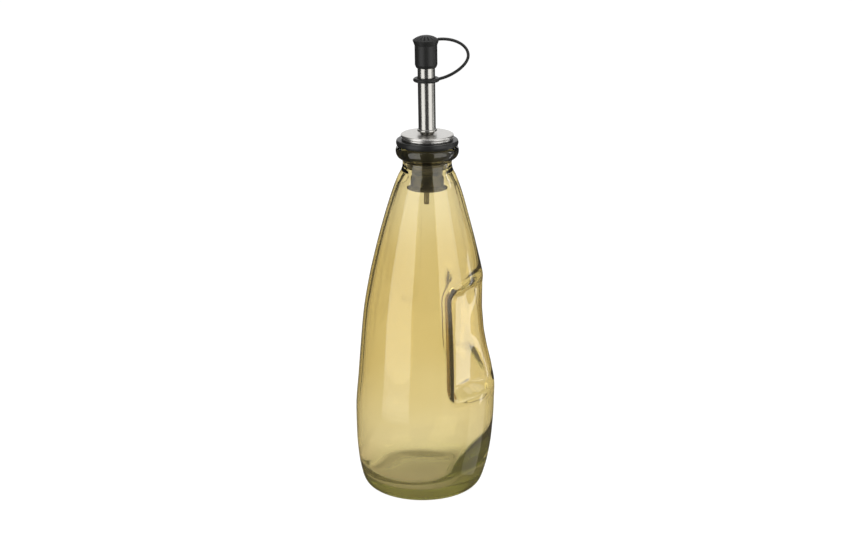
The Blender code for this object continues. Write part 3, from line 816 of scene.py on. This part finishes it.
# Floor, light and camera
studio = {
    "cameraPlace": (-0.0530, -0.9164, 0.4254),
    "cameraDown": math.radians(17.824),
    "cameraTurn": math.radians(-3.4),
    "lens": 71.53,
    "floorGlow": 0.97,
    # a hair below the bottle, so that the two faces don't coincide
    "floorZ": mm(-0.2),
    # the soft shadow under the bottle: radius of its darkest part, radius where it ends, darkest share
    "shadeFrom": 0.029,
    "shadeTo": 0.041,
    "shadeDarkest": 0.40,
    # name, degrees to the right of the camera from and to, height from and to, distance, brightness
    "softboxes": (("softboxLeft", -25, -72, 0.0, 0.60, 0.35, 2.15),
                  ("softboxRight", 25, 72, 0.12, 0.60, 0.35, 2.15),
                  ("softboxRightLow", 25, 72, -0.06, 0.06, 0.35, 0.2),
                  ("sideFill", 73, 112, -0.25, 0.60, 0.35, 0.5),
                  ("sideLow", 95, 102.5, -0.05, 0.14, 0.34, 2.7),
                  ("sideHigh", 90, 96, 0.25, 0.42, 0.34, 5.0)),
    # the softboxes fade out downwards in steps
    "faded": ("softboxLeft", "softboxRight"),
    "fadeSteps": 4,
    "fadeHeight": 0.06,
    # name, place, aim, width, height, brightness
    "overhead": (("backWall", (0.0, 0.9, 0.62), (0, 0, 0.25), 1.6, 1.0, 1.0),
                 ("topPanel", (0.0, 0.1, 0.9), (0, 0, 0.2), 0.8, 0.8, 1.5)),
    # black cards beside the view, which give the glass and the steel their dark edges
    "cards": (("cardLeft", (-0.10, 0.10), (-0.22, 0.45)), ("cardRight", (0.10, 0.10), (0.27, 0.45))),
    "cardFrom": -0.3,
    "cardTo": 0.6,
    # how bright the surroundings are to each kind of ray
    "surroundings": {"other": 0.4, "Is Glossy Ray": 0.08, "Is Transmission Ray": 0.25,
                     "Is Camera Ray": 1.0},
}


def beside(degrees, distance):
    # a place round the bottle, at an angle from the camera's direction
    heading = math.atan2(studio["cameraPlace"][1], studio["cameraPlace"][0]) + math.radians(degrees)
    return Vector((math.cos(heading), math.sin(heading), 0)) * distance


def areaLight(name, place, aim, width, height, brightness):
    nothingSelected()
    bpy.ops.object.light_add(type="AREA", location=place)
    light = bpy.context.object
    light.name = name
    light.data.shape = "RECTANGLE"
    light.data.size, light.data.size_y = width, height
    light.data.energy = brightness * math.pi * width * height
    light.rotation_euler = (Vector(aim) - Vector(place)).to_track_quat("-Z", "Y").to_euler()
    light.visible_camera = False
    return light


def sideLight(name, fromAngle, toAngle, fromZ, toZ, distance, brightness):
    start, end = beside(fromAngle, distance), beside(toAngle, distance)
    centre = (start + end) / 2 + Vector((0, 0, (fromZ + toZ) / 2))
    areaLight(name, centre, (0, 0, centre.z), (end - start).length, toZ - fromZ, brightness)


def paleFloor():
    # white acrylic lit from below, so the floor is white right up to the bottle; the soft shadow under
    # the bottle is seen only through the glass
    made, tree, shader = newMaterial("white acrylic floor", Roughness=0.9, Base_Color=fromHex("#595959"))
    place = addNode(tree, "ShaderNodeTexCoord").outputs["Object"]
    fromMiddle = addNode(tree, "ShaderNodeVectorMath", {0: place}, operation="LENGTH")
    shade = addNode(tree, "ShaderNodeMapRange", {"Value": fromMiddle.outputs["Value"],
                                                 "From Min": studio["shadeFrom"],
                                                 "From Max": studio["shadeTo"],
                                                 "To Min": studio["shadeDarkest"], "To Max": 1.0},
                    interpolation_type="SMOOTHSTEP")
    ray = addNode(tree, "ShaderNodeLightPath")
    seen = addNode(tree, "ShaderNodeMix", {"Factor": ray.outputs["Is Camera Ray"], 2: shade.outputs[0],
                                           3: 1.0})
    glow = addNode(tree, "ShaderNodeMath", {0: seen.outputs[0], 1: studio["floorGlow"]},
                   operation="MULTIPLY")
    shader.inputs["Emission Color"].default_value = fromHex("#FFFFFF")
    tree.links.new(glow.outputs[0], shader.inputs["Emission Strength"])
    return made


def blackCard(name, near, far):
    # a tall upright card, drawn from its near edge to its far one
    nothingSelected()
    bpy.ops.mesh.primitive_plane_add(size=1, location=(0, 0, 0))
    card = bpy.context.object
    card.name = name
    for vert in card.data.vertices:
        x, y = near if vert.co.x < 0 else far
        vert.co = (x, y, studio["cardFrom"] if vert.co.y < 0 else studio["cardTo"])
    card.data.materials.append(newMaterial("black felt", Roughness=1.0, Base_Color=fromHex("#1A1A1A"),
                                           Specular_IOR_Level=0.0)[0])
    card.visible_camera = card.visible_diffuse = card.visible_shadow = False


nothingSelected()
bpy.ops.mesh.primitive_plane_add(size=8, location=(0, 0, studio["floorZ"]))
floor = bpy.context.object
floor.name = "floor"
floor.data.materials.append(paleFloor())
floor.visible_glossy = False

for name, fromAngle, toAngle, fromZ, toZ, distance, brightness in studio["softboxes"]:
    sideLight(name, fromAngle, toAngle, fromZ, toZ, distance, brightness)
    for k in range(studio["fadeSteps"] if name in studio["faded"] else 0):
        step = studio["fadeHeight"] / studio["fadeSteps"]
        share = 1.0 - (k + 1) / (studio["fadeSteps"] + 1)
        sideLight(name + "Fade", fromAngle, toAngle, fromZ - (k + 1) * step, fromZ - k * step, distance,
                  brightness * share)
for light in studio["overhead"]:
    areaLight(*light)
for card in studio["cards"]:
    blackCard(*card)

world = bpy.data.worlds.new("studio")
bpy.context.scene.world = world
world.use_nodes = True
worldTree = world.node_tree
ray = addNode(worldTree, "ShaderNodeLightPath")
surroundings = None
for kind, strength in studio["surroundings"].items():
    shade = addNode(worldTree, "ShaderNodeBackground", {"Color": fromHex("#FFFFFF"), "Strength": strength})
    if surroundings:
        shade = addNode(worldTree, "ShaderNodeMixShader", {0: ray.outputs[kind], 1: surroundings.outputs[0],
                                                           2: shade.outputs[0]})
    surroundings = shade
worldTree.links.new(surroundings.outputs[0], worldTree.nodes["World Output"].inputs["Surface"])

nothingSelected()
bpy.ops.object.camera_add(location=studio["cameraPlace"],
                          rotation=(math.pi / 2 - studio["cameraDown"], 0, studio["cameraTurn"]))
camera = bpy.context.object
camera.data.lens = studio["lens"]
camera.data.sensor_width = 36
camera.data.clip_start = 0.01
bpy.context.scene.camera = camera
bpy.context.scene.view_settings.view_transform = "Standard"
print("floor, lights and camera")
